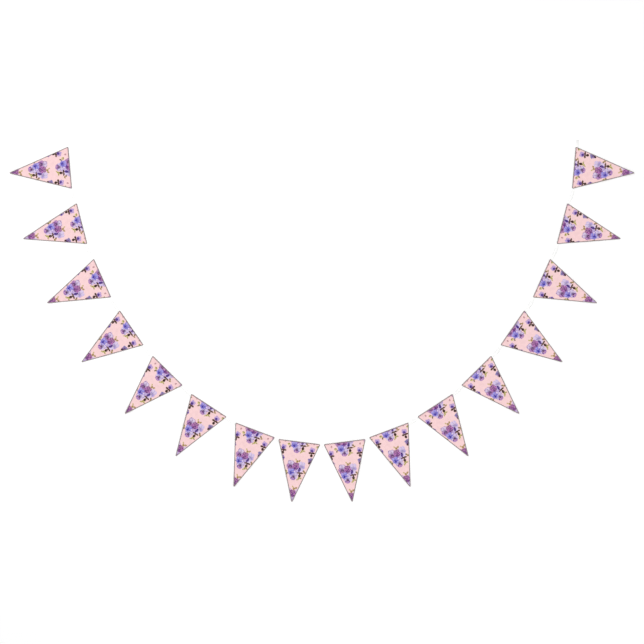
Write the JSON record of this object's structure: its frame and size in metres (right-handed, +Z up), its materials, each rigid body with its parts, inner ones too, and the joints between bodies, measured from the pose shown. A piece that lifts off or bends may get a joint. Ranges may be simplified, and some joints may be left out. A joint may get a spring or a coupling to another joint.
{
  "type": "bunting",
  "caption": "Triangular cloth pennants in a pink flower print, overlocked round the edge and sewn along a narrow white tape, laid out face up in a deep swag.",
  "frame": {"origin": "on the surface that it lies on, under the middle of the whole swag", "axes": "+X across the swag to the picture's right, +Y up the swag towards its two ends, +Z up from the surface, towards the printed faces"},
  "size_m": [2.4078, 1.3948, 0.0051],
  "materials": {
    "printed_cloth": "matt plain-weave cotton, pale pink ground with a violet and blue pansy print and olive leaves",
    "white_tape": "matt white cotton twill tape",
    "edge_thread": "taupe overlocking thread, slightly soft sheen"
  },
  "bodies": {
    "root": {"flag_01": "printed_cloth", "flag_02": "printed_cloth", "flag_03": "printed_cloth", "flag_04": "printed_cloth", "flag_05": "printed_cloth", "flag_06": "printed_cloth", "flag_07": "printed_cloth", "flag_08": "printed_cloth", "flag_09": "printed_cloth", "flag_10": "printed_cloth", "flag_11": "printed_cloth", "flag_12": "printed_cloth", "flag_13": "printed_cloth", "flag_14": "printed_cloth", "flag_15": "printed_cloth", "flag_16": "printed_cloth", "tape": "white_tape"}
  },
  "joints": []
}
